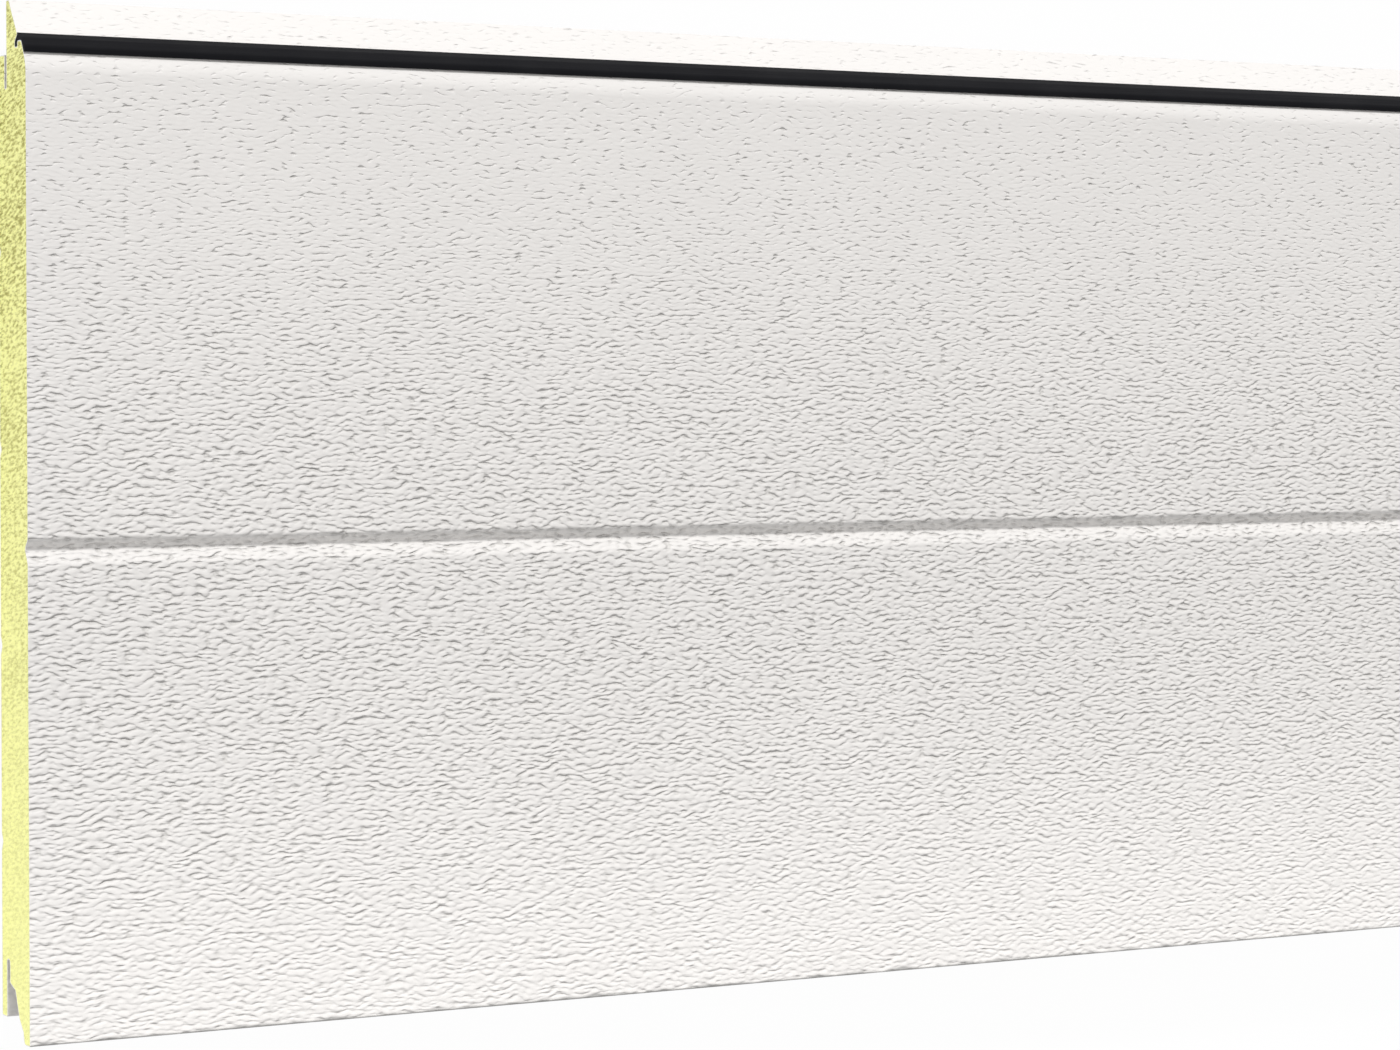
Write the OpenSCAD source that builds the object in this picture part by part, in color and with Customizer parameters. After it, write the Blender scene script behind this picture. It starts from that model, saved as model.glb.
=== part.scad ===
// Sectional garage door panel, one foam filled section between two roll-formed steel sheets.
// It lies flat: X runs along the panel, +Y points to the tongue edge, +Z to the outer face.
// The edges are drawn in a section plane as [depth from the outer face, height above the toe].

/* [Panel] */
// Length of the panel, across the door
panel_length = 2500; // [400:10:6000]
// Height of door that one panel covers, from its toe to the next panel's toe
cover_height = 500; // [350:5:700]
// Thickness over both sheets
panel_depth = 40; // [38:1:60]
// Thickness of the steel sheets
sheet = 0.5; // [0.4:0.05:0.7]

/* [Outer face] */
// Height of the V groove's root over the toe
groove_height = 248; // [60:1:290]
// Depth of the V groove
groove_depth = 4; // [2:0.5:8]
// Height of the groove's upper flank
groove_upper = 5; // [3:0.5:12]
// Height of the groove's lower flank
groove_lower = 7.5; // [3:0.5:15]
// Radius that eases the outer face into the groove's flanks
groove_ease = 5; // [1:0.5:6]
// Bend radius at the groove's root
groove_root = 1.8; // [0.8:0.1:3]

/* [Inner face] */
// Number of stiffening beads
bead_count = 4; // [1:1:6]
// Width of a bead
bead_width = 9; // [6:0.5:16]
// Depth of a bead
bead_depth = 2; // [1:0.25:4]
// Bend radius at a bead's edges and root
bead_bend = 2; // [1:0.25:3]

/* [Tongue edge] */
// Height from the shoulder to the next panel's toe
joint_gap = 5; // [3:0.5:7]
// How far below the shoulder the bevel's line meets the outer face
bevel_drop = 6.5; // [4:0.5:12]
// Radius that eases the outer face into the bevel
bevel_ease = 18; // [6:1:24]
// Angle of the bevel from the horizontal
bevel_slant = 61.4; // [57:0.2:66]
// Height of the nose over the shoulder
nose_rise = 5.7; // [4.5:0.1:6.2]
// Depth of the nose's back from the outer face
nose_depth = 12.2; // [11:0.1:13]
// Rounding of the nose
nose_round = 2.5; // [1.5:0.1:3]
// Width of the seal notch behind the nose
notch_width = 3.4; // [3:0.1:5]
// Height of the notch floor over the shoulder
notch_floor = 2.8; // [1:0.1:3.2]
// Height of the notch's back wall, from its floor to the overhang
notch_wall = 2.8; // [2:0.1:4]
// How far the tongue's foot reaches forward over the notch
foot_reach = 3.6; // [2.5:0.1:4.4]
// Rise of the overhang to the tongue's foot
foot_rise = 3.4; // [2.8:0.1:4.5]
// Height of the tongue's tip over the shoulder
tongue_rise = 27; // [22:0.5:29]
// Width of the tongue's flat tip
tip_width = 3.8; // [3:0.1:6]
// Width of the shoulder behind the tongue
shoulder_width = 9.4; // [8:0.1:12]
// Opening of the folded hem between tongue and shoulder
hem_gap = 2.4; // [1.6:0.1:2.8]
// Depth of the folded hem below the shoulder
hem_depth = 17; // [8:0.5:30]

/* [Groove edge] */
// Rounding of the toe's front
toe_round = 1.2; // [0.8:0.1:2]
// Depth of the toe's heel from the outer face
heel_depth = 8.1; // [6.5:0.1:9]
// Rounding of the heel
heel_round = 2.5; // [1.2:0.1:3]
// Depth of the knee from the outer face
knee_depth = 9.5; // [9:0.1:10.5]
// Height of the knee over the toe
knee_rise = 6; // [5:0.1:7]
// Bend radius at the knee
knee_bend = 1.5; // [0.8:0.1:3]
// Height of the waist, where the slope steepens, over the toe
waist_rise = 12; // [10:0.1:14]
// Bend radius at the waist
waist_bend = 8; // [2:0.5:12]
// Angle of the slope above the waist from the horizontal
slope_slant = 66.8; // [60:0.2:72]
// Height of the slope's end over the toe
slope_rise = 25.9; // [24:0.1:28]
// Rise of the ceiling from the slope's end to the folded hem
ceiling_rise = 2.6; // [0.5:0.1:5]
// Opening of the folded hem behind the ceiling
lip_hem_gap = 3.9; // [2:0.1:4]
// Depth of that hem above the ceiling
lip_hem_depth = 11.5; // [6:0.5:24]
// Height of the bottom lip's edge over the toe
lip_rise = 10.7; // [4:0.1:14]

/* [Seal] */
// Depth of the seal's front from the outer face
seal_front = 1.9; // [1.4:0.1:2.4]
// Height of the seal's straight front
seal_front_rise = 2.8; // [1.5:0.1:3.2]
// Depth of the seal's shoulder from the outer face
seal_crown_depth = 7.4; // [7:0.1:8]
// Thickness of the seal over the nose, at its shoulder
seal_crown = 1.4; // [1.1:0.1:2]
// Rounding of the seal's outside
seal_round = 6; // [2:0.5:10]
// How far the seal's front leg hangs below the shoulder
seal_drop = 0.4; // [0:0.1:1.5]

/* [Fits] */
// Bend radius of the folds, on the outside of the sheet
fold_bend = 1.1; // [0.8:0.1:1.4]
// Width of the bare foam between the two sheets' edges
sheet_break = 0.8; // [0.4:0.1:1.5]
// Room between the tongue's front and the groove's waist in a closed door
front_clearance = 2.3; // [1:0.1:3]
// Room between the shoulder's front and the bottom lip
lip_clearance = 2; // [0.5:0.1:2.5]

/* [Hidden] */
// Turn of an arc between two of its points
arc_step = 18;
// Largest share of an edge that one bend may take
bend_share = 0.45;

// Places along the tongue edge, by depth and height
shoulder = cover_height - joint_gap;
nose_top = shoulder + nose_rise;
nose_front = (nose_rise + bevel_drop) / tan(bevel_slant);
notch_bottom = shoulder + notch_floor;
notch_back = nose_depth + notch_width;
overhang = notch_bottom + notch_wall;
foot_depth = notch_back - foot_reach;
foot_height = overhang + foot_rise;
tip_top = shoulder + tongue_rise;
hem_back = panel_depth - shoulder_width;
tongue_back = hem_back - hem_gap;
tip_front = tongue_back - tip_width;
tongue_lean = (tip_front - foot_depth) / (tip_top - foot_height);
hem_bottom = shoulder - hem_depth;

// Places along the groove edge, whose waist clears the front of the tongue below it
waist_over_foot = waist_rise + cover_height - foot_height;
waist_depth = foot_depth + waist_over_foot * tongue_lean - front_clearance;
slope_depth = waist_depth + (slope_rise - waist_rise) / tan(slope_slant);
lip_front = hem_back + lip_clearance;
lip_hem_front = lip_front - lip_hem_gap;
ceiling = slope_rise + ceiling_rise;
lip_hem_top = ceiling + lip_hem_depth;

// A sheet's path is a list of [depth, height, bend radius]. Its first and last points have no bend.
// The outer sheet, from the groove's slope over the toe and up the face
face_path = [
    [slope_depth, slope_rise, 0],
    [waist_depth, waist_rise, waist_bend],
    [knee_depth, knee_rise, knee_bend],
    [heel_depth, 0, heel_round],
    [0, 0, toe_round],
    [0, groove_height - groove_lower, groove_ease],
    [groove_depth, groove_height, groove_root],
    [0, groove_height + groove_upper, groove_ease],
    [0, shoulder - bevel_drop, bevel_ease]
];

// On over the nose, through the seal notch and up the tongue's front
crown_path = [
    [nose_front, nose_top, nose_round],
    [nose_depth, nose_top, nose_round],
    [nose_depth, notch_bottom, fold_bend / 2],
    [notch_back, notch_bottom, fold_bend / 2],
    [notch_back, overhang, fold_bend],
    [foot_depth, foot_height, fold_bend],
    [tip_front, tip_top, 0]
];

outer_path = concat(face_path, crown_path);

// The inner sheet, from the tongue's tip down its back and through the folded hem to the shoulder
tongue_path = [
    [tip_front + sheet_break, tip_top, 0],
    [tongue_back, tip_top, fold_bend],
    [tongue_back, hem_bottom, hem_gap / 2],
    [hem_back, hem_bottom, hem_gap / 2],
    [hem_back, shoulder, fold_bend],
    [panel_depth, shoulder, fold_bend]
];

// The beads, from the top one down
bead_pitch = shoulder / (bead_count + 1);
bead_path = [
    for (i = [bead_count:-1:1])
        for (side = [1, 0, -1])
            [panel_depth - (side == 0 ? bead_depth : 0), i * bead_pitch + side * bead_width / 2, bead_bend]
];

// Round the bottom lip, up through its hem and along the groove's ceiling
lip_path = [
    [panel_depth, lip_rise, fold_bend],
    [lip_front, lip_rise, fold_bend],
    [lip_front, lip_hem_top, lip_hem_gap / 2],
    [lip_hem_front, lip_hem_top, lip_hem_gap / 2],
    [lip_hem_front, ceiling, fold_bend],
    [slope_depth + sheet_break, slope_rise, 0]
];

inner_path = concat(tongue_path, bead_path, lip_path);

// Unit vector from one point to another
function heading(a, b) = let (d = [b[0] - a[0], b[1] - a[1]]) d / norm(d);

// The arc of a path's point i, which ends at the point itself where it has no bend
function bend(path, i) =
    i == 0 || i == len(path) - 1 || path[i][2] == 0
        ? [[path[i][0], path[i][1]]]
        : let (
            p = [path[i][0], path[i][1]],
            before = heading(path[i - 1], path[i]),
            after = heading(path[i], path[i + 1]),
            side = sign(cross(before, after)),
            turn = acos(max(-1, min(1, before * after))),
            room = bend_share * min(
                norm([path[i][0] - path[i - 1][0], path[i][1] - path[i - 1][1]]),
                norm([path[i + 1][0] - path[i][0], path[i + 1][1] - path[i][1]])
            ),
            r = min(path[i][2], room / tan(turn / 2)),
            start = p - before * r * tan(turn / 2),
            centre = start + side * r * [-before[1], before[0]],
            steps = max(2, ceil(turn / arc_step))
        )
        [for (k = [0:steps]) centre + turned(start - centre, side * turn * k / steps)];

// A vector turned by an angle
function turned(v, a) = [v[0] * cos(a) - v[1] * sin(a), v[0] * sin(a) + v[1] * cos(a)];

// A whole path with its bends
function bent(path) = [for (i = [0:len(path) - 1]) each bend(path, i)];

// The line beside a path of points, at a distance to its inner side
function beside(line, distance) = [
    for (i = [0:len(line) - 1])
        let (
            last = len(line) - 1,
            before = heading(line[max(i - 1, 0)], line[max(i, 1)]),
            after = heading(line[min(i, last - 1)], line[min(i + 1, last)]),
            normal = [before[1] + after[1], -before[0] - after[0]]
        )
        line[i] + normal * 2 * distance / (normal * normal)
];

// A list in reverse
function reversed(list) = [for (i = [len(list) - 1:-1:0]) list[i]];

outer_line = bent(outer_path);
inner_line = bent(inner_path);

// The seal hugs the sheet from its front leg on the bevel, over the nose and round the notch to the foot
seal_start = [(bevel_drop - seal_drop) / tan(bevel_slant), shoulder - seal_drop];
nose_index = len(face_path);
seal_bed = [for (i = [nose_index:nose_index + 5]) each bend(outer_path, i)];
seal_back = [
    [seal_bed[len(seal_bed) - 1][0], seal_bed[len(seal_bed) - 1][1], 0],
    [seal_crown_depth, nose_top + seal_crown, seal_round],
    [seal_front, seal_start[1] + seal_front_rise, seal_round],
    [seal_front, seal_start[1], 0]
];
seal_outside = [for (i = [1:len(seal_back) - 1]) each bend(seal_back, i)];

// Stands a section on its back and runs it along the panel, centred on the origin
module along_panel(points) {
    translate([-panel_length / 2, -tip_top / 2, 0])
        rotate([90, 0, 90])
            linear_extrude(height = panel_length)
                polygon([for (p = points) [p[1], panel_depth - p[0]]]);
}

// A sheet between its outer line and the line beside it
module rolled_sheet(line) {
    along_panel(concat(line, reversed(beside(line, sheet))));
}

module outer_skin() {
    color("whitesmoke")
        rolled_sheet(outer_line);
}

module inner_skin() {
    color("white")
        rolled_sheet(inner_line);
}

module foam_core() {
    color([0.93, 0.92, 0.55])
        along_panel(concat(beside(outer_line, sheet), beside(inner_line, sheet)));
}

module edge_seal() {
    color([0.12, 0.12, 0.13])
        along_panel(concat([seal_start], seal_bed, seal_outside));
}

foam_core();
outer_skin();
inner_skin();
edge_seal();
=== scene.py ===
"""Dresses the sectional garage door panel: embossed painted sheets, cut foam and a rubber seal.

The panel lies on its inner face. X runs along it, +Y points to the tongue edge and +Z out of the
outer face. The camera sees it from the cut end at -X.
"""

import logging
import math
from dataclasses import dataclass, replace
from enum import Enum

import bmesh
import bpy
import numpy as np
from mathutils import Matrix, Vector


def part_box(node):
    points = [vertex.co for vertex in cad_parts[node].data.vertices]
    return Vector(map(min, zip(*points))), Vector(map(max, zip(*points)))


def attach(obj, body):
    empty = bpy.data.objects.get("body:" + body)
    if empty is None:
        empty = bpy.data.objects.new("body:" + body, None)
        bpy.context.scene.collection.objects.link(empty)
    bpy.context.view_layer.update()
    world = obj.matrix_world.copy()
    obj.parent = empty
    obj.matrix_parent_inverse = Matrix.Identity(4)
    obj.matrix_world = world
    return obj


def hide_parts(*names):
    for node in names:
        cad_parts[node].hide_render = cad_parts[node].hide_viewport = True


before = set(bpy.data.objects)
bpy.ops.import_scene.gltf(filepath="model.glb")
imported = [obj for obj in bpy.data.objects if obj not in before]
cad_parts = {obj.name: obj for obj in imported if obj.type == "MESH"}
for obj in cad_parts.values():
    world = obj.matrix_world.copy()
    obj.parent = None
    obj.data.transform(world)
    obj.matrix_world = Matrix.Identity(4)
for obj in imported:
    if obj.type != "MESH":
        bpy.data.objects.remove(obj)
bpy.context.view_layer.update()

MM = 0.001
MICRON = 1e-6
MICRONS_A_METRE = 1e6
LEAST_AREA = 1e-18
BODY = "root"
RELIEF_MAP = "relief"

log = logging.getLogger("panel")

Socket = bpy.types.NodeSocket
Value = Socket | float | tuple[float, ...]
Span = tuple[float, float]
Triple = tuple[float, float, float]


class CutEnd(Enum):
    """The panel's two cut ends, by the way that they face along X."""

    LEFT = -1
    RIGHT = 1


def placed(name: str, data: bpy.types.ID) -> bpy.types.Object:
    """Makes an object of a mesh, a light or a camera, and adds it to the scene."""
    thing = bpy.data.objects.new(name, data)
    bpy.context.scene.collection.objects.link(thing)
    return thing


# Node trees


class Graph:
    """Adds nodes to a shader or geometry node tree and links them."""

    NOISE_MIDDLE = 0.5
    NOISE_GAIN = 3.0

    def __init__(self, tree: bpy.types.NodeTree) -> None:
        """Keeps the tree that the nodes go into."""
        self.tree = tree

    @classmethod
    def of(cls, owner: bpy.types.Material | bpy.types.World) -> "Graph":
        """Starts the empty tree of a material or a world."""
        owner.use_nodes = True
        owner.node_tree.nodes.clear()
        return cls(owner.node_tree)

    def add(self, kind: str, **settings: object) -> bpy.types.Node:
        """Adds a node.

        Args:
            kind: the node's type name.
            settings: properties to set on the node.

        Returns:
            The new node.
        """
        node = self.tree.nodes.new(kind)
        for name, value in settings.items():
            setattr(node, name, value)
        return node

    def put(self, socket: Socket, value: Value) -> None:
        """Links a socket to another one, or sets its constant.

        Args:
            socket: the input to feed.
            value: an output socket, or a number or colour.
        """
        if isinstance(value, bpy.types.NodeSocket):
            self.tree.links.new(value, socket)
        else:
            socket.default_value = value

    def fed(self, node: bpy.types.Node, *values: Value) -> Socket:
        """Feeds a node's inputs in their order, and gives its first output."""
        for socket, value in zip(node.inputs, values):
            self.put(socket, value)
        return node.outputs[0]

    def math(self, operation: str, *values: Value) -> Socket:
        """Adds a math node, with the values that its operation takes, and gives its output."""
        return self.fed(self.add("ShaderNodeMath", operation=operation), *values)

    def vector(self, *numbers: Value) -> Socket:
        """Joins numbers to a vector: its X and Y, and its Z if that isn't 0."""
        return self.fed(self.add("ShaderNodeCombineXYZ"), *numbers)

    def parts(self, vector: Socket) -> tuple[Socket, Socket, Socket]:
        """Splits a vector into its X, Y and Z."""
        node = self.add("ShaderNodeSeparateXYZ")
        self.put(node.inputs[0], vector)
        return tuple(node.outputs)

    def noise(self, place: Value, detail: float = 0.0, dimensions: str = "3D") -> Socket:
        """Adds a noise of cell size 1, centred on 0 and running to about 1 either way.

        Args:
            place: where the noise is read.
            detail: number of finer layers.
            dimensions: the node's dimensions.

        Returns:
            The noise's socket.
        """
        node = self.add("ShaderNodeTexNoise", noise_dimensions=dimensions)
        self.put(node.inputs["Vector"], place)
        node.inputs["Scale"].default_value = 1.0
        node.inputs["Detail"].default_value = detail
        centred = self.math("SUBTRACT", node.outputs[0], self.NOISE_MIDDLE)
        return self.math("MULTIPLY", centred, self.NOISE_GAIN)

    def between(
        self, value: Value, low: float, high: float, to_low: float = 0.0, to_high: float = 1.0
    ) -> Socket:
        """Maps a range smoothly to another one, and holds it there.

        Args:
            value: the number to map.
            low: where the range starts.
            high: where it ends.
            to_low: the result at its start.
            to_high: the result at its end.

        Returns:
            The mapped number's socket.
        """
        node = self.add("ShaderNodeMapRange", interpolation_type="SMOOTHSTEP")
        return self.fed(node, value, low, high, to_low, to_high)

    def mixed(self, share: Value, first: Value, second: Value) -> Socket:
        """Mixes two colours.

        Args:
            share: how much of the second colour shows.
            first: the colour at a share of 0.
            second: the colour at a share of 1.

        Returns:
            The mixed colour's socket.
        """
        node = self.add("ShaderNodeMix", data_type="RGBA")
        self.put(node.inputs["Factor"], share)
        self.put(node.inputs["A"], first)
        self.put(node.inputs["B"], second)
        return node.outputs["Result"]

    def seen(self) -> Socket:
        """Gives 1 for rays from the camera and from gloss, and 0 for those that light things."""
        path = self.add("ShaderNodeLightPath")
        return self.math("MAXIMUM", path.outputs["Is Camera Ray"], path.outputs["Is Glossy Ray"])

    def group(self, tree: bpy.types.NodeTree, **values: Value) -> bpy.types.Node:
        """Places a shader node group.

        Args:
            tree: the group's tree.
            values: what goes into its inputs, by name with _ for a space.

        Returns:
            The group's node.
        """
        node = self.add("ShaderNodeGroup", node_tree=tree)
        for name, value in values.items():
            self.put(node.inputs[name.replace("_", " ")], value)
        return node


def shader_group(
    name: str, inputs: dict[str, float], outputs: tuple[str, ...]
) -> tuple[Graph, bpy.types.Node, bpy.types.Node]:
    """Starts a shader node group of numbers in and out, with a vector named Place going in too.

    Args:
        name: the group's name.
        inputs: each number that goes in, with its default.
        outputs: each number that comes out.

    Returns:
        The group's graph, its input node and its output node.
    """
    tree = bpy.data.node_groups.new(name, "ShaderNodeTree")
    tree.interface.new_socket(name="Place", in_out="INPUT", socket_type="NodeSocketVector")
    for label, value in inputs.items():
        given = tree.interface.new_socket(name=label, in_out="INPUT", socket_type="NodeSocketFloat")
        given.default_value = value
    for label in outputs:
        tree.interface.new_socket(name=label, in_out="OUTPUT", socket_type="NodeSocketFloat")
    graph = Graph(tree)
    return graph, graph.add("NodeGroupInput"), graph.add("NodeGroupOutput")


# The embossed relief


@dataclass(frozen=True)
class Emboss:
    """The stucco pattern rolled into a sheet: many small dents, long along the panel.

    Lengths are in millimetres. Along is measured along the panel, and across over the bends of its
    section. The dents are cut where a noise is past the threshold. Lean makes each of them
    steep at its upper edge, the wave lets rows of them rise and fall, and the patches vary their
    depth and, by the clumping, their number. A value given as three numbers changes from the toe
    over the middle to the tongue edge, where the dents thin out and grow slimmer. The last field
    is the range of heights over which painted shade darkens the finish in the dents.
    """

    dent_length: float = 4.8
    dent_height: float = 2.1
    detail: float = 0.4
    depth: Triple = (0.27, 0.78, 0.98)
    tongue_depth: float = 0.55
    slimming: float = 0.08
    threshold: Triple = (-0.2, 0.06, 0.5)
    edge: Triple = (0.8, 0.5, 0.2)
    unevenness: Triple = (0.45, 0.26, 0.06)
    clumping: float = 0.15
    lean: float = 0.32
    wave_length: float = 16.0
    wave_height: float = 14.0
    wave_layer: float = 3.0
    wave: float = 1.1
    patch_length: float = 13.0
    patch_height: float = 8.0
    patch_layer: float = 7.0
    patchiness: float = 0.45
    low_part: Span = (40.0, 260.0)
    high_part: Span = (310.0, 500.0)
    tongue_part: Span = (508.0, 524.0)
    # Heights over which painted shade darkens the dents
    painted_dent_shade: Span = (-0.15, -0.6)

    def swell(self, graph: Graph, along: Value, across: Value) -> Socket:
        """The noise that the dents are cut from.

        Args:
            graph: where the nodes go.
            along: place along the panel.
            across: place over the section.

        Returns:
            A number from about -1 to 1.
        """
        start = self.high_part[0]
        slimmer = graph.math("MULTIPLY", graph.between(across, *self.high_part), self.slimming)
        slimmed = graph.math("MULTIPLY", graph.math("SUBTRACT", across, start), slimmer)
        place = graph.vector(
            graph.math("DIVIDE", along, self.dent_length),
            graph.math("ADD", graph.math("DIVIDE", across, self.dent_height), slimmed),
        )
        return graph.noise(place, detail=self.detail, dimensions="2D")

    def height(self, graph: Graph, along: Value, across: Value, lean: float) -> Socket:
        """The relief's height.

        Args:
            graph: where the nodes go, a shader tree or a geometry tree.
            along: place along the panel.
            across: place over the section.
            lean: how far the dents lean, in millimetres.

        Returns:
            The height in millimetres, about the sheet between the dents.
        """
        rise = graph.between(across, *self.low_part)
        thinning = graph.between(across, *self.high_part)

        def soft(length: float, height: float, layer: float) -> Socket:
            """A slow noise in cells of this length and height."""
            x, y = graph.math("DIVIDE", along, length), graph.math("DIVIDE", across, height)
            return graph.noise(graph.vector(x, y, layer))

        def stepped(steps: Triple) -> Socket:
            """A value at this place over the section."""
            low, middle, high = steps
            lower = graph.math("MULTIPLY_ADD", rise, middle - low, low)
            return graph.math("MULTIPLY_ADD", thinning, high - middle, lower)

        wave = soft(self.wave_length, self.wave_height, self.wave_layer)
        waved = graph.math("MULTIPLY_ADD", wave, self.wave, across)
        leaned = waved
        if lean:
            leaned = graph.math("MULTIPLY_ADD", self.swell(graph, along, waved), lean, waved)
        swell = self.swell(graph, along, leaned)
        patch = soft(self.patch_length, self.patch_height, self.patch_layer)
        inverted = graph.math("MULTIPLY", swell, -1.0)
        clumped = graph.math("MULTIPLY_ADD", patch, self.clumping, inverted)
        below = graph.math("SUBTRACT", clumped, stepped(self.threshold))
        dent = graph.math("SMOOTH_MAX", below, 0.0, stepped(self.edge))
        uneven = graph.math("MULTIPLY", swell, stepped(self.unevenness))
        shape = graph.math("SUBTRACT", uneven, dent)
        patched = graph.math("MULTIPLY_ADD", patch, self.patchiness, 1.0)
        at_tongue = graph.between(across, *self.tongue_part, 1.0, self.tongue_depth)
        depth = graph.math("MULTIPLY", stepped(self.depth), at_tongue)
        return graph.math("MULTIPLY", shape, graph.math("MULTIPLY", patched, depth))


def sampled(relief: Emboss, along: np.ndarray, across: np.ndarray) -> np.ndarray:
    """Reads a relief's upright dents at many places, through a geometry node tree.

    Args:
        relief: the relief to read.
        along: places along the panel, in millimetres.
        across: places over the section, in millimetres.

    Returns:
        The heights in millimetres, in the shape of the places.
    """
    tree = bpy.data.node_groups.new("relief_sampler", "GeometryNodeTree")
    for way in ("INPUT", "OUTPUT"):
        tree.interface.new_socket(name="Geometry", in_out=way, socket_type="NodeSocketGeometry")
    graph = Graph(tree)
    x, y, _ = graph.parts(graph.add("GeometryNodeInputPosition").outputs[0])
    store = graph.add("GeometryNodeStoreNamedAttribute", data_type="FLOAT", domain="POINT")
    store.inputs["Name"].default_value = "height"
    graph.put(store.inputs["Geometry"], graph.add("NodeGroupInput").outputs[0])
    graph.put(store.inputs["Value"], relief.height(graph, x, y, 0.0))
    graph.put(graph.add("NodeGroupOutput").inputs[0], store.outputs[0])

    places = np.stack([along, across, np.zeros_like(along)], -1).reshape(-1, 3)
    mesh = bpy.data.meshes.new("relief_samples")
    mesh.vertices.add(len(places))
    mesh.vertices.foreach_set("co", places.astype(np.float32).ravel())
    carrier = placed("relief_samples", mesh)
    carrier.modifiers.new("relief", "NODES").node_group = tree
    evaluated = carrier.evaluated_get(bpy.context.evaluated_depsgraph_get())
    heights = np.empty(len(places), np.float32)
    evaluated.data.attributes["height"].data.foreach_get("value", heights)
    bpy.data.objects.remove(carrier)
    bpy.data.meshes.remove(mesh)
    bpy.data.node_groups.remove(tree)
    return heights.reshape(along.shape).astype(float)


def relief_group(relief: Emboss) -> bpy.types.NodeTree:
    """Builds the shader node group that puts out a relief, and a mask for the painted shade in its
    dents.

    Args:
        relief: the relief that the sheets are embossed with.

    Returns:
        The group's tree. Place is in metres, along and across.
    """
    graph, inputs, outputs = shader_group("emboss_relief", {"Depth": 1.0}, ("Height", "ShadedCrease"))
    place = graph.parts(inputs.outputs["Place"])
    along, across = (graph.math("DIVIDE", part, MM) for part in place[:2])
    height = relief.height(graph, along, across, relief.lean)
    graph.put(outputs.inputs["Height"], graph.math("MULTIPLY", height, inputs.outputs["Depth"]))
    # The second output masks the deep dents, which the paint darkens with painted shade.
    graph.put(outputs.inputs["ShadedCrease"], graph.between(height, *relief.painted_dent_shade))
    return graph.tree


def grain_group(grain_detail: float = 2.0, cloud_detail: float = 3.0) -> bpy.types.NodeTree:
    """Builds the shader node group for a surface's fine grain and slow clouding.

    Args:
        grain_detail: number of finer layers in the grain.
        cloud_detail: number of finer layers in the clouding.

    Returns:
        The group's tree. Place is in metres, and Size is a grain's size in millimetres.
    """
    inputs = {"Size": 0.5, "Stretch": 1.0, "Cloud size": 90.0}
    graph, given, outputs = shader_group("surface_grain", inputs, ("Grain", "Cloud"))
    x, y, z = (graph.math("DIVIDE", part, MM) for part in graph.parts(given.outputs["Place"]))
    size = given.outputs["Size"]
    long_size = graph.math("MULTIPLY", size, given.outputs["Stretch"])
    sizes = ((x, long_size), (y, size), (z, size))
    near = graph.vector(*(graph.math("DIVIDE", part, whole) for part, whole in sizes))
    cloud = given.outputs["Cloud size"]
    far = graph.vector(*(graph.math("DIVIDE", part, cloud) for part in (x, y, z)))
    graph.put(outputs.inputs["Grain"], graph.noise(near, detail=grain_detail))
    graph.put(outputs.inputs["Cloud"], graph.noise(far, detail=cloud_detail))
    return graph.tree


# Finishes


@dataclass(frozen=True)
class Groups:
    """The node groups that the finishes share."""

    relief: bpy.types.NodeTree
    grain: bpy.types.NodeTree


@dataclass(frozen=True)
class Finish:
    """What every finish has: a colour, a roughness, and the way that a material of it starts."""

    colour: Triple
    roughness: float

    def started(self, name: str) -> tuple[bpy.types.Material, Graph, bpy.types.Node]:
        """Makes a material with one shader.

        Args:
            name: the material's name.

        Returns:
            The material, its graph and its shader node.
        """
        material = bpy.data.materials.new(name)
        material.diffuse_color = (*self.colour, 1.0)
        graph = Graph.of(material)
        shader = graph.add("ShaderNodeBsdfPrincipled")
        graph.put(graph.add("ShaderNodeOutputMaterial").inputs["Surface"], shader.outputs[0])
        return material, graph, shader

    def bumped(self, graph: Graph, shader: bpy.types.Node, height: Value) -> None:
        """Feeds a height to a shader's normal.

        Args:
            graph: the material's graph.
            shader: the shader node.
            height: the height in millimetres.
        """
        bump = graph.add("ShaderNodeBump")
        bump.inputs["Distance"].default_value = MM
        graph.put(bump.inputs["Height"], height)
        graph.put(shader.inputs["Normal"], bump.outputs[0])


@dataclass(frozen=True)
class ShadedCrease:
    """A fine line along a bend, darkened by painted shade and sunk as a bump by its depth, in
    millimetres.
    """

    across: float
    width: float
    depth: float
    painted_shade: float


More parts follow.
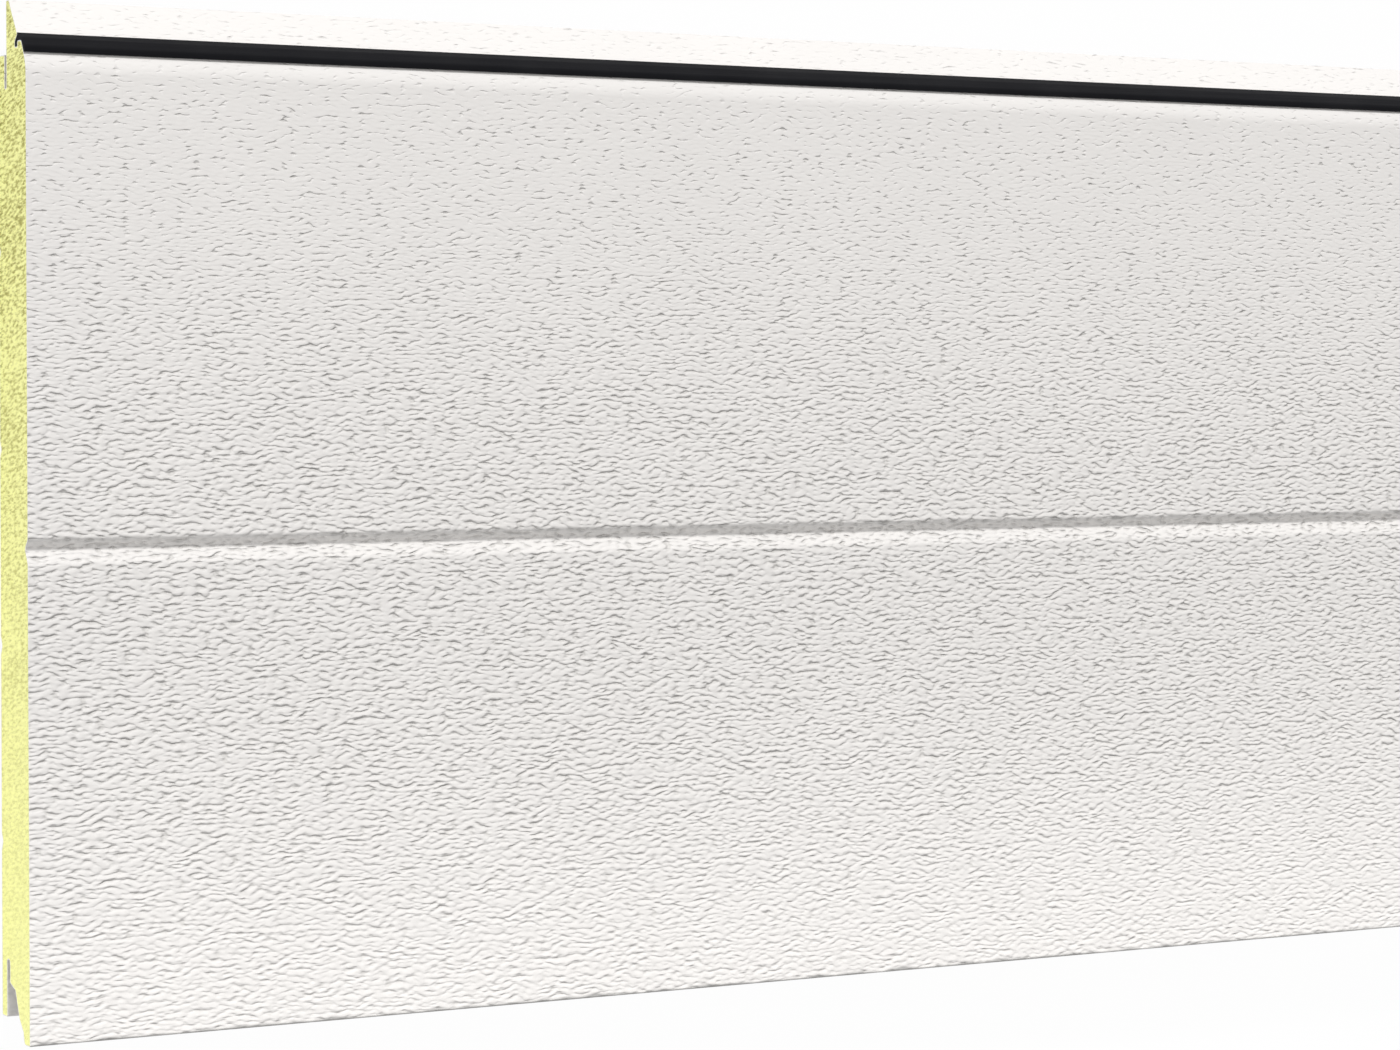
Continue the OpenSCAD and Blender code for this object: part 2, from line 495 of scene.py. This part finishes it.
@dataclass(frozen=True)
class Paint(Finish):
    """Baked polyester paint on embossed sheet, with bare steel where the sheet was cut.

    Clouds take the paint cloud_share of the way to cloud_shade times its colour. Painted shade
    darkens it in the deep dents and along the creases' lines. It counts as cut where it faces along
    X by more than cut_facing. Sizes are in millimetres.
    """

    # Painted shade in the deep dents
    painted_dent_shade_colour: Triple
    steel_colour: Triple = (0.80, 0.79, 0.77)
    # Painted shade along the creases' lines
    painted_line_shade_colour: Triple = (0.40, 0.39, 0.38)
    relief_depth: float = 1.0
    grain_size: float = 0.9
    peel: float = 0.012
    cloud_size: float = 70.0
    cloud_shade: float = 0.965
    cloud_share: float = 0.5
    painted_dent_shade_share: float = 0.5
    shaded_creases: tuple[ShadedCrease, ...] = ()
    wander_length: float = 14.0
    wander: float = 0.5
    cut_facing: Span = (0.9, 0.97)
    cut_metal: float = 0.1
    smoother: float = 0.04
    rougher: float = 0.05

    def material(self, name: str, groups: Groups) -> bpy.types.Material:
        """Builds the paint's material.

        Args:
            name: the material's name.
            groups: the shared node groups.

        Returns:
            The material.
        """
        material, graph, shader = self.started(name)
        coordinates = graph.add("ShaderNodeTexCoord")
        place = self.relief_place(graph, coordinates)
        relief = graph.group(groups.relief, Place=place, Depth=self.relief_depth)
        inside = coordinates.outputs["Object"]
        grain = graph.group(
            groups.grain, Place=inside, Size=self.grain_size, Cloud_size=self.cloud_size
        )

        clouded = graph.between(grain.outputs["Cloud"], -1.0, 1.0, 0.0, self.cloud_share)
        darker = tuple(self.cloud_shade * part for part in self.colour)
        paint = graph.mixed(clouded, (*self.colour, 1.0), (*darker, 1.0))
        # Painted shade: the deep dents darken towards their shade colour
        painted_dent_shade = graph.math("MULTIPLY", relief.outputs["ShadedCrease"], self.painted_dent_shade_share)
        paint = graph.mixed(painted_dent_shade, paint, (*self.painted_dent_shade_colour, 1.0))
        # Painted shade along each crease's line, on top of its bump
        for crease in self.shaded_creases:
            painted_shade = graph.math("MULTIPLY", self.line(graph, place, crease), crease.painted_shade)
            paint = graph.mixed(painted_shade, paint, (*self.painted_line_shade_colour, 1.0))
        facing = graph.parts(coordinates.outputs["Normal"])[0]
        cut = graph.between(graph.math("ABSOLUTE", facing), *self.cut_facing)
        graph.put(shader.inputs["Base Color"], graph.mixed(cut, paint, (*self.steel_colour, 1.0)))

        roughnesses = self.roughness - self.smoother, self.roughness + self.rougher
        rough = graph.between(grain.outputs["Grain"], -1.0, 1.0, *roughnesses)
        graph.put(shader.inputs["Roughness"], rough)
        graph.put(shader.inputs["Metallic"], graph.math("MULTIPLY", cut, self.cut_metal))
        peel = graph.math("MULTIPLY", grain.outputs["Grain"], self.peel)
        height = graph.math("ADD", relief.outputs["Height"], peel)
        for crease in self.shaded_creases:
            line = self.line(graph, place, crease)
            height = graph.math("MULTIPLY_ADD", line, -crease.depth, height)
        self.bumped(graph, shader, height)
        return material

    def line(self, graph: Graph, place: Socket, crease: ShadedCrease) -> Socket:
        """Masks a crease's line, which wanders a little along the panel.

        Args:
            graph: the material's graph.
            place: the relief's place, along and across.
            crease: the crease to draw.

        Returns:
            A number from 0 beside the line to 1 on it.
        """
        along, across, _ = graph.parts(place)
        along = graph.math("DIVIDE", along, self.wander_length * MM)
        wander = graph.noise(graph.vector(along, crease.across))
        middle = graph.math("MULTIPLY_ADD", wander, self.wander * crease.width, crease.across)
        off = graph.math("SUBTRACT", graph.math("DIVIDE", across, MM), middle)
        return graph.between(graph.math("ABSOLUTE", off), crease.width, 0.0)

    def relief_place(self, graph: Graph, coordinates: bpy.types.Node) -> Socket:
        """Where the relief is read: the piece's own map of the section's developed length."""
        return graph.add("ShaderNodeUVMap", uv_map=RELIEF_MAP).outputs[0]


@dataclass(frozen=True)
class FlatPaint(Paint):
    """The same paint on a piece with no map of its own, whose relief is read from its place."""

    def relief_place(self, graph: Graph, coordinates: bpy.types.Node) -> Socket:
        """Where the relief is read: along X, and across the section by Y and Z together."""
        x, y, z = graph.parts(coordinates.outputs["Object"])
        return graph.vector(x, graph.math("ADD", y, z))


@dataclass(frozen=True)
class Foam(Finish):
    """Sawn rigid foam: open cells in leaning rows, coarser and darker towards the tongue edge.

    Two grains make the cells, of grain_size and of a third of that. Their sum opens a cell over the
    range named opened, fully at its second number. Sizes are in millimetres, but coarsened, where
    the cells get coarser, is a range of Y in metres.
    """

    cell_colour: Triple
    grain_size: float = 1.6
    finer: float = 3.0
    fine_share: float = 0.4
    lean: float = 0.15
    stretch: float = 0.34
    cloud_size: float = 30.0
    cloud_share: float = -0.2
    opened: Span = (0.39, -0.76)
    coarsened: Span = (-0.26, 0.2)
    least: float = 0.24
    smoother: float = 0.1
    cell_depth: float = 0.3

    def material(self, name: str, groups: Groups) -> bpy.types.Material:
        """Builds the foam's material.

        Args:
            name: the material's name.
            groups: the shared node groups.

        Returns:
            The material.
        """
        material, graph, shader = self.started(name)
        x, y, z = graph.parts(graph.add("ShaderNodeTexCoord").outputs["Object"])
        leaned = graph.vector(
            x,
            graph.math("MULTIPLY_ADD", z, -self.lean, y),
            graph.math("MULTIPLY", z, self.stretch),
        )
        coarse = graph.group(
            groups.grain, Place=leaned, Size=self.grain_size, Cloud_size=self.cloud_size
        )
        fine = graph.group(groups.grain, Place=leaned, Size=self.grain_size / self.finer)
        both = graph.math(
            "MULTIPLY_ADD", fine.outputs["Grain"], self.fine_share, coarse.outputs["Grain"]
        )
        clouded = graph.math("MULTIPLY_ADD", coarse.outputs["Cloud"], self.cloud_share, both)
        open_cells = graph.between(clouded, *self.opened)
        coarseness = graph.between(y, *self.coarsened, self.least, 1.0)
        open_cells = graph.math("MULTIPLY", open_cells, coarseness)
        colour = graph.mixed(open_cells, (*self.colour, 1.0), (*self.cell_colour, 1.0))
        graph.put(shader.inputs["Base Color"], colour)
        rough = graph.between(both, -1.0, 1.0, self.roughness, self.roughness - self.smoother)
        graph.put(shader.inputs["Roughness"], rough)
        rugged = graph.math("MULTIPLY", both, coarseness)
        self.bumped(graph, shader, graph.math("MULTIPLY", rugged, self.cell_depth))
        return material


@dataclass(frozen=True)
class Rubber(Finish):
    """Extruded black rubber, with faint lines along it. Sizes are in millimetres."""

    bloom_colour: Triple
    gloss: float = 0.04
    line_size: float = 0.5
    line_stretch: float = 120.0
    line_depth: float = 0.02
    bloom_size: float = 40.0
    bloomed: Span = (-0.4, 1.0)
    varying: float = 0.08

    def material(self, name: str, groups: Groups) -> bpy.types.Material:
        """Builds the rubber's material.

        Args:
            name: the material's name.
            groups: the shared node groups.

        Returns:
            The material.
        """
        material, graph, shader = self.started(name)
        place = graph.add("ShaderNodeTexCoord").outputs["Object"]
        lines = graph.group(
            groups.grain, Place=place, Size=self.line_size, Stretch=self.line_stretch,
            Cloud_size=self.bloom_size,
        )
        bloom = graph.between(lines.outputs["Cloud"], *self.bloomed)
        colour = graph.mixed(bloom, (*self.colour, 1.0), (*self.bloom_colour, 1.0))
        graph.put(shader.inputs["Base Color"], colour)
        roughnesses = self.roughness - self.varying, self.roughness + self.varying
        rough = graph.between(lines.outputs["Grain"], -1.0, 1.0, *roughnesses)
        graph.put(shader.inputs["Roughness"], rough)
        shader.inputs["Specular IOR Level"].default_value = self.gloss
        self.bumped(graph, shader, graph.math("MULTIPLY", lines.outputs["Grain"], self.line_depth))
        return material


# Meshes


def new_piece(name: str, mesh: bpy.types.Mesh, material: bpy.types.Material) -> bpy.types.Object:
    """Makes an object of a mesh, and puts it on the panel's body.

    Args:
        name: the piece's name.
        mesh: its mesh, in the frame's own place.
        material: its finish.

    Returns:
        The piece.
    """
    mesh.materials.append(material)
    piece = placed(name, mesh)
    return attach(piece, BODY)


def mesh_of(
    name: str, points: np.ndarray, faces: list[np.ndarray], normals: list[np.ndarray]
) -> bpy.types.Mesh:
    """Builds a mesh from arrays of faces, with a normal of its own for each face corner.

    Args:
        name: the mesh's name.
        points: the points, one a row.
        faces: arrays of faces, each with as many corners a row as its faces have.
        normals: for each of those arrays, its corners' normals.

    Returns:
        The mesh.
    """
    mesh = bpy.data.meshes.new(name)
    sizes = np.concatenate([np.full(len(rows), rows.shape[1], np.int32) for rows in faces])
    corners = np.concatenate([rows.ravel() for rows in faces]).astype(np.int32)
    mesh.vertices.add(len(points))
    mesh.vertices.foreach_set("co", points.astype(np.float32).ravel())
    mesh.loops.add(len(corners))
    mesh.loops.foreach_set("vertex_index", corners)
    mesh.polygons.add(len(sizes))
    starts = np.concatenate([[0], np.cumsum(sizes)[:-1]]).astype(np.int32)
    mesh.polygons.foreach_set("loop_start", starts)
    mesh.polygons.foreach_set("use_smooth", np.ones(len(sizes), bool))
    mesh.update(calc_edges=True)
    mesh.normals_split_custom_set(np.concatenate([rows.reshape(-1, 3) for rows in normals]))
    return mesh


def flat_normals(points: np.ndarray, faces: np.ndarray) -> np.ndarray:
    """Each face's own normal, once for each of its corners.

    Args:
        points: the points, one a row.
        faces: the faces, one a row.

    Returns:
        The normals, by face and corner.
    """
    corners = points[faces]
    after = np.roll(corners, -1, 1)
    total = np.cross(corners, after).sum(1)
    total /= np.maximum(np.linalg.norm(total, axis=1, keepdims=True), LEAST_AREA)
    return np.repeat(total[:, None, :], faces.shape[1], 1)


def section_of(node: str) -> np.ndarray:
    """Reads the outline that a node is extruded from, off its left end.

    Args:
        node: the node's name.

    Returns:
        The outline's points in order, each as Y and Z in metres.
    """
    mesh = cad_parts[node].data
    places = np.array([vertex.co for vertex in mesh.vertices])
    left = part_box(node)[0].x
    at_end = np.abs(places[:, 0] - left) < MICRON
    keys = [tuple(key) for key in np.round(places[:, 1:] * MICRONS_A_METRE).astype(int).tolist()]
    follows: dict[tuple[int, int], tuple[int, int]] = {}
    for polygon in mesh.polygons:
        corners = list(polygon.vertices)
        if all(at_end[corner] for corner in corners):
            continue
        for start, end in zip(corners, corners[1:] + corners[:1]):
            if at_end[start] and at_end[end]:
                follows[keys[start]] = keys[end]
    first = next(iter(follows))
    outline = [first]
    while follows[outline[-1]] != first:
        outline.append(follows[outline[-1]])
    return np.array(outline) * MICRON


# The panel's pieces


@dataclass
class OuterSheet:
    """The outer steel sheet, embossed all over and roll-formed to the panel's section.

    A stretch of its line faces out if it runs along Y by more than facing. A bend takes the
    direction of a neighbour that is longer by much_longer. Pressed is the share of the relief that
    the mesh carries. It fades in with the outward normal's Z, from fade_from over fade_over.
    """

    finish: Paint
    relief: Emboss
    lengths: int = 6
    columns: int = 134
    row_step: float = 1.1 * MM
    plain_step: float = 2.5 * MM
    facing: float = 0.2
    much_longer: float = 1.8
    pressed: float = 0.3
    deepest: float = 0.4 * MM
    fade_from: float = 0.1
    fade_over: float = 0.4
    toe_facing: float = 0.3
    groove_depth: float = 0.3 * MM
    groove_reach: float = 50 * MM

    def build(self, groups: Groups) -> list[bpy.types.Object]:
        """Builds the sheet in several lengths that meet end to end.

        Args:
            groups: the shared node groups.

        Returns:
            The pieces.
        """
        base, outward, across, thickness = self.rows()
        low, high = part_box("outer_skin")
        along = np.linspace(low.x, high.x, self.lengths * self.columns + 1)
        points, normals = self.embossed(base, outward, across, along)
        backs = base - outward * thickness
        finish = replace(self.finish, shaded_creases=self.shaded_creases(base, outward, across))
        material = finish.material("outer_paint", groups)
        pieces = []
        for length in range(self.lengths):
            span = slice(length * self.columns, (length + 1) * self.columns + 1)
            name = f"outer_sheet_{length + 1}"
            face = points[:, span], normals[:, span]
            mesh = self.length_mesh(name, *face, backs, along[span], across)
            piece = new_piece(name, mesh, material)
            pieces.append(piece)
        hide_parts("outer_skin")
        return pieces

    def rows(self) -> tuple[np.ndarray, np.ndarray, np.ndarray, float]:
        """Lays rows over the sheet's outer line, finer where the sheet faces out and on its bends.

        Returns:
            Each row's place and outward normal as Y and Z, its developed place across the section,
            and the sheet's thickness.
        """
        loop = section_of("outer_skin")
        loop = np.roll(loop, -int(np.argmax(loop[:, 0])), 0)
        if np.linalg.norm(loop[1] - loop[0]) < np.linalg.norm(loop[-1] - loop[0]):
            loop = np.roll(loop[::-1], 1, 0)
        line = loop[: len(loop) // 2][::-1]
        thickness = float(np.linalg.norm(loop[-1] - loop[0]))
        chords = np.diff(line, axis=0)
        spans = np.linalg.norm(chords, axis=1)
        headings = chords / spans[:, None]
        tangents = self.tangents(headings, spans)
        places, ways, across = [], [], []
        start = 0.0
        for i, (heading, span) in enumerate(zip(headings, spans)):
            step = self.row_step if heading[0] > self.facing else self.plain_step
            steps = max(1, math.ceil(span / step))
            leaving, arriving = tangents[i], tangents[i + 1]
            for t in np.arange(steps) / steps:
                places.append(self.eased(line[i], line[i + 1], leaving * span, arriving * span, t))
                way = (1 - t) * leaving + t * arriving
                ways.append(way / np.linalg.norm(way))
                across.append(start + t * span)
            start += span
        places.append(line[-1])
        ways.append(tangents[-1])
        across.append(start)
        ways = np.array(ways)
        outward = np.stack([-ways[:, 1], ways[:, 0]], 1)
        return np.array(places), outward, np.array(across), thickness

    def tangents(self, headings: np.ndarray, spans: np.ndarray) -> np.ndarray:
        """The line's direction at each of its points: a much longer neighbour's, or between both.

        Args:
            headings: unit vector of each stretch.
            spans: length of each stretch.

        Returns:
            Unit vectors, one a point.
        """
        found = [headings[0]]
        for before, after, span_before, span_after in zip(headings, headings[1:], spans, spans[1:]):
            if span_before > self.much_longer * span_after:
                way = before
            elif span_after > self.much_longer * span_before:
                way = after
            else:
                way = before + after
            found.append(way / np.linalg.norm(way))
        found.append(headings[-1])
        return np.array(found)

    @staticmethod
    def eased(
        start: np.ndarray, end: np.ndarray, leaving: np.ndarray, arriving: np.ndarray, t: float
    ) -> np.ndarray:
        """A point on the cubic between two points.

        Args:
            start: the first point.
            end: the last point.
            leaving: direction and speed at the first point.
            arriving: direction and speed at the last point.
            t: share of the way.

        Returns:
            The point.
        """
        s = 1 - t
        first = (1 + 2 * t) * s * s * start + t * s * s * leaving
        return first + (3 - 2 * t) * t * t * end - s * t * t * arriving

    def shaded_creases(
        self, base: np.ndarray, outward: np.ndarray, across: np.ndarray
    ) -> tuple[ShadedCrease, ...]:
        """Finds the bends that get a line of painted shade: the toe's, and the V groove's root and
        upper edge.

        Args:
            base: each row's place.
            outward: each row's outward normal.
            across: each row's developed place.

        Returns:
            The creases.
        """
        face = base[:, 1].max()
        toe = int(np.argmax((base[:, 1] > face - MM) & (outward[:, 1] > self.toe_facing)))
        low = base[:, 1] < face - self.groove_depth
        groove = np.flatnonzero(low & (np.abs(base[:, 0]) < self.groove_reach))
        root, edge = groove[np.argmin(base[groove, 1])], groove[-1]
        # The toe's line is painted shade alone; the groove's lines add a shallow bump
        return (
            ShadedCrease(across=across[toe] / MM, width=2.8, depth=0.0, painted_shade=1.0),
            ShadedCrease(across=across[root] / MM, width=1.0, depth=0.05, painted_shade=0.3),
            ShadedCrease(across=across[edge] / MM, width=1.3, depth=0.1, painted_shade=0.3),
        )

    def embossed(
        self, base: np.ndarray, outward: np.ndarray, across: np.ndarray, along: np.ndarray
    ) -> tuple[np.ndarray, np.ndarray]:
        """Presses the relief into the rows. Their normals stay smooth, for the finish's own bump.

        Args:
            base: each row's place.
            outward: each row's outward normal.
            across: each row's developed place.
            along: each column's place.

        Returns:
            Points and normals, by row and column.
        """
        grid_along, grid_across = np.meshgrid(along / MM, across / MM)
        weight = np.clip((outward[:, 1] - self.fade_from) / self.fade_over, 0, 1)[:, None]
        heights = sampled(self.relief, grid_along, grid_across) * self.pressed * MM
        sunk = np.clip(heights, -self.deepest, 0) * weight
        points = np.empty((*sunk.shape, 3))
        points[..., 0] = along
        points[..., 1:] = base[:, None] + outward[:, None] * sunk[..., None]
        normals = np.zeros_like(points)
        normals[..., 1:] = outward[:, None]
        return points, normals

    def length_mesh(
        self,
        name: str,
        points: np.ndarray,
        normals: np.ndarray,
        backs: np.ndarray,
        along: np.ndarray,
        across: np.ndarray,
    ) -> bpy.types.Mesh:
        """Closes one length of the sheet: its embossed face, its back, its two ends and edges.

        Args:
            name: the mesh's name.
            points: the face's points, by row and column.
            normals: the face's normals, by row and column.
            backs: each row's place on the sheet's back.
            along: each column's place.
            across: each row's developed place.

        Returns:
            The mesh, with its relief map.
        """
        rows, columns = points.shape[:2]
        index = np.arange(rows * columns).reshape(rows, columns)
        ends = np.array([along[0], along[-1]])
        back_points = np.empty((rows, 2, 3))
        back_points[..., 0] = ends
        back_points[..., 1:] = backs[:, None]
        back = rows * columns + np.arange(rows * 2).reshape(rows, 2)
        every = np.concatenate([points.reshape(-1, 3), back_points.reshape(-1, 3)])

        face = np.stack([index[:-1, :-1], index[:-1, 1:], index[1:, 1:], index[1:, :-1]], -1)
        face = face.reshape(-1, 4)
        reverse = np.stack([back[:-1, 0], back[1:, 0], back[1:, 1], back[:-1, 1]], -1)
        left = np.stack([index[:-1, 0], index[1:, 0], back[1:, 0], back[:-1, 0]], -1)
        right = np.stack([index[:-1, -1], back[:-1, 1], back[1:, 1], index[1:, -1]], -1)
        first = np.concatenate([[back[0, 0], back[0, 1]], index[0, ::-1]])[None]
        last = np.concatenate([[back[-1, 1], back[-1, 0]], index[-1]])[None]
        plain = [reverse, left, right, first, last]
        plain_normals = [flat_normals(every, group) for group in plain]
        smooth_normals = normals.reshape(-1, 3)[face]
        mesh = mesh_of(name, every, [face, *plain], [smooth_normals, *plain_normals])
        developed = np.concatenate([np.repeat(across, columns), np.repeat(across, 2)])
        self.map_relief(mesh, every[:, 0], developed)
        return mesh

    @staticmethod
    def map_relief(mesh: bpy.types.Mesh, along: np.ndarray, across: np.ndarray) -> None:
        """Stores each point's place along and across as the mesh's relief map.

        Args:
            mesh: the mesh.
            along: each point's place along the panel.
            across: each point's developed place.
        """
        corners = np.empty(len(mesh.loops), np.int32)
        mesh.loops.foreach_get("vertex_index", corners)
        layer = mesh.uv_layers.new(name=RELIEF_MAP)
        places = np.stack([along[corners], across[corners]], 1)
        layer.data.foreach_set("uv", places.astype(np.float32).ravel())


@dataclass
class InnerSheet:
    """The inner steel sheet, which keeps its solid's shape."""

    finish: Paint

    def dress(self, groups: Groups) -> bpy.types.Object:
        """Paints the sheet.

        Args:
            groups: the shared node groups.

        Returns:
            The sheet's object.
        """
        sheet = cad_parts["inner_skin"]
        sheet.data.materials.clear()
        sheet.data.materials.append(self.finish.material("inner_paint", groups))
        return sheet


@dataclass
class FoamCore:
    """The foam between the sheets, with open cells on both sawn ends."""

    finish: Foam
    grid: float = 1.25 * MM
    jitter: float = 0.3 * MM
    cell_depth: float = 0.35 * MM
    merging: float = 1e-7
    seed: int = 11

    def build(self, groups: Groups) -> bpy.types.Object:
        """Builds the foam: one sawn end, the same at the far side, and the sides between them.

        Args:
            groups: the shared node groups.

        Returns:
            The piece.
        """
        low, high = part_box("foam_core")
        end, faces, rim = self.sawn_end()
        inner = np.ones(len(end), bool)
        inner[rim.ravel()] = False
        points = []
        rng = np.random.default_rng(self.seed)
        for side, x in ((CutEnd.LEFT, low.x), (CutEnd.RIGHT, high.x)):
            place = np.column_stack([np.full(len(end), x), end])
            place[inner, 0] -= side.value * self.cell_depth * rng.random(inner.sum()) ** 2
            place[inner, 1:] += self.jitter * (rng.random((inner.sum(), 2)) - 0.5)
            points.append(place)
        count = len(end)
        mesh = bpy.data.meshes.new("foam_block")
        every = [face[::-1] for face in faces]
        every += [[corner + count for corner in face] for face in faces]
        every += [[here, there, there + count, here + count] for here, there in rim.tolist()]
        mesh.from_pydata(np.concatenate(points), [], every)
        mesh.validate()
        piece = new_piece("foam_block", mesh, self.finish.material("foam", groups))
        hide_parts("foam_core")
        return piece

    def sawn_end(self) -> tuple[np.ndarray, list[list[int]], np.ndarray]:
        """Cuts the section into a fine grid.

        Returns:
            The grid's points as Y and Z, its faces, and the edges of its rim.
        """
        loop = section_of("foam_core")
        net = bmesh.new()
        net.faces.new([net.verts.new((0.0, *point)) for point in loop])
        geometry = [*net.verts, *net.edges, *net.faces]
        for normal, places in zip((Vector((0.0, 1.0, 0.0)), Vector((0.0, 0.0, 1.0))), loop.T):
            for place in np.arange(places.min() + self.grid, places.max(), self.grid):
                cut = bmesh.ops.bisect_plane(
                    net, geom=geometry, dist=self.merging, plane_co=normal * place, plane_no=normal
                )
                geometry = cut["geom"]
        net.verts.index_update()
        points = np.array([vertex.co[1:] for vertex in net.verts])
        faces = [[vertex.index for vertex in face.verts] for face in net.faces]
        rim = []
        for edge in net.edges:
            if edge.is_boundary:
                walk = edge.link_loops[0]
                rim.append([walk.vert.index, walk.link_loop_next.vert.index])
        net.free()
        return points, faces, np.array(rim)


@dataclass
class EdgeSeal:
    """The rubber seal on the nose, which keeps its solid's shape."""

    finish: Rubber

    def dress(self, groups: Groups) -> bpy.types.Object:
        """Gives the seal its rubber.

        Args:
            groups: the shared node groups.

        Returns:
            The seal's object.
        """
        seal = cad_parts["edge_seal"]
        seal.data.materials.clear()
        seal.data.materials.append(self.finish.material("seal_rubber", groups))
        return seal


# The studio


@dataclass(frozen=True)
class Lamp:
    """A soft strip lamp, with a honeycomb that narrows its beam by a spread in degrees."""

    name: str
    place: Triple
    aim: Triple
    length: float
    breadth: float
    spread: float
    power: float

    def build(self) -> bpy.types.Object:
        """Hangs the lamp and points it at its aim. Its glare stays off the paint at flat angles."""
        light = bpy.data.lights.new(self.name, "AREA")
        light.shape = "RECTANGLE"
        light.size, light.size_y = self.length, self.breadth
        light.spread = math.radians(self.spread)
        light.energy = self.power
        lamp = placed(self.name, light)
        lamp.location = self.place
        beam = Vector(self.aim) - Vector(self.place)
        lamp.rotation_euler = beam.to_track_quat("-Z", "Y").to_euler()
        lamp.visible_camera = lamp.visible_glossy = False
        return lamp


@dataclass
class Studio:
    """A white floor, soft lamps and the camera. Angles are in degrees.

    The camera is placed by the toe's left corner: by its distance and the pixel that shows it.
    """

    picture_width: float = 1400.0
    picture_height: float = 1050.0
    focal_pixels: float = 3930.0
    level_pixel: float = 486.0
    toe_pixel: Span = (30.2, 1047.5)
    toe_distance: float = 1.9557
    turn: float = 29.73
    tilt: float = 1.501
    sensor: float = 36.0
    floor_size: float = 14.0
    floor_drop: float = 0.2 * MM
    floor_shade: float = 0.9
    floor_glow: float = 0.975
    world_strength: float = 0.505
    rake_strength: float = 2.25
    rake_slant: float = 58.5
    rake_width: float = 16.0

    def build(self) -> None:
        """Builds the floor, the world, the lamps and the camera."""
        self.floor()
        self.world()
        self.rake()
        for lamp in self.lamps():
            lamp.build()
        self.camera()
        bpy.context.scene.view_settings.view_transform = "Standard"

    def rake(self) -> None:
        """Adds the wide even light that rakes over the face from beyond the tongue edge."""
        light = bpy.data.lights.new("rake", "SUN")
        light.energy = self.rake_strength
        light.angle = math.radians(self.rake_width)
        lamp = placed("rake", light)
        lamp.rotation_euler = (math.radians(-self.rake_slant), 0.0, 0.0)
        lamp.visible_glossy = False

    def lamps(self) -> tuple[Lamp, ...]:
        """The lamps besides the raking one: one sweeps the toe and one lights the cut end."""
        return (
            Lamp("sweep", place=(-0.2, 1.2, 1.0), aim=(-0.2, -0.32, 0.04),
                 length=4.6, breadth=0.1, spread=8.0, power=0.8),
            Lamp("end", place=(-5.0, 0.0, 0.9), aim=(-1.3, 0.0, 0.0),
                 length=1.2, breadth=0.5, spread=60.0, power=4.6),
        )

    def floor(self) -> None:
        """Lays the floor, which looks white to the camera but keeps its shadows."""
        half = self.floor_size / 2
        mesh = bpy.data.meshes.new("floor")
        corners = [(-half, -half), (half, -half), (half, half), (-half, half)]
        mesh.from_pydata([(x, y, -self.floor_drop) for x, y in corners], [], [(0, 1, 2, 3)])
        floor = placed("floor", mesh)
        mesh.materials.append(self.floor_material())

    def floor_material(self) -> bpy.types.Material:
        """Mixes a matt white with a glow that only rays from the camera and from gloss see."""
        material = bpy.data.materials.new("floor_white")
        graph = Graph.of(material)
        seen = graph.seen()
        plain = graph.add("ShaderNodeBsdfDiffuse")
        plain.inputs["Color"].default_value = (*[self.floor_shade] * 3, 1.0)
        white = graph.add("ShaderNodeEmission")
        mix = graph.add("ShaderNodeMixShader")
        graph.put(mix.inputs[0], graph.math("MULTIPLY", seen, self.floor_glow))
        graph.put(mix.inputs[1], plain.outputs[0])
        graph.put(mix.inputs[2], white.outputs[0])
        graph.put(graph.add("ShaderNodeOutputMaterial").inputs["Surface"], mix.outputs[0])
        return material

    def world(self) -> None:
        """Gives the world an even pale light, which looks white itself."""
        world = bpy.data.worlds.new("studio")
        bpy.context.scene.world = world
        graph = Graph.of(world)
        strength = graph.between(graph.seen(), 0.0, 1.0, self.world_strength, 1.0)
        background = graph.add("ShaderNodeBackground")
        graph.put(background.inputs["Strength"], strength)
        graph.put(background.inputs["Color"], (1.0, 1.0, 1.0, 1.0))
        graph.put(graph.add("ShaderNodeOutputWorld").inputs["Surface"], background.outputs[0])

    def camera(self) -> None:
        """Places the camera by the toe's left corner, whose pixel and distance are known."""
        low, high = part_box("outer_skin")
        toe = Vector((low.x, low.y, high.z))
        turn = Matrix.Rotation(math.radians(-self.turn), 3, "Y")
        turned = turn @ Matrix.Rotation(math.radians(-self.tilt), 3, "X")
        scale = self.toe_distance / self.focal_pixels
        right = (self.toe_pixel[0] - self.picture_width / 2) * scale
        up = (self.level_pixel - self.toe_pixel[1]) * scale
        data = bpy.data.cameras.new("camera")
        data.sensor_width = self.sensor
        data.lens = self.focal_pixels / self.picture_width * self.sensor
        data.shift_y = (self.level_pixel - self.picture_height / 2) / self.picture_width
        camera = placed("camera", data)
        place = toe - turned @ Vector((right, up, -self.toe_distance))
        camera.matrix_world = Matrix.Translation(place) @ turned.to_4x4()
        bpy.context.scene.camera = camera


def main() -> None:
    """Builds the panel piece by piece, then the studio."""
    logging.basicConfig(level=logging.INFO, format="%(message)s")
    relief = Emboss()
    groups = Groups(relief_group(relief), grain_group())
    # Each paint's third colour is the painted shade in its dents
    outer = Paint(colour=(0.83, 0.806, 0.783), roughness=0.42, painted_dent_shade_colour=(0.62, 0.60, 0.57))
    inner = FlatPaint(colour=(0.81, 0.795, 0.77), roughness=0.45, painted_dent_shade_colour=(0.66, 0.64, 0.61))
    foam = Foam(colour=(0.975, 0.975, 0.42), roughness=0.9, cell_colour=(0.36, 0.33, 0.08))
    rubber = Rubber(
        colour=(0.008, 0.008, 0.0095), roughness=0.6, bloom_colour=(0.012, 0.012, 0.0135)
    )
    pieces = OuterSheet(outer, relief).build(groups)
    pieces.append(InnerSheet(inner).dress(groups))
    pieces.append(FoamCore(foam).build(groups))
    pieces.append(EdgeSeal(rubber).dress(groups))
    for piece in pieces:
        log.info("%s: %d faces", piece.name, len(piece.data.polygons))
    Studio().build()


if __name__ == "__main__":
    main()
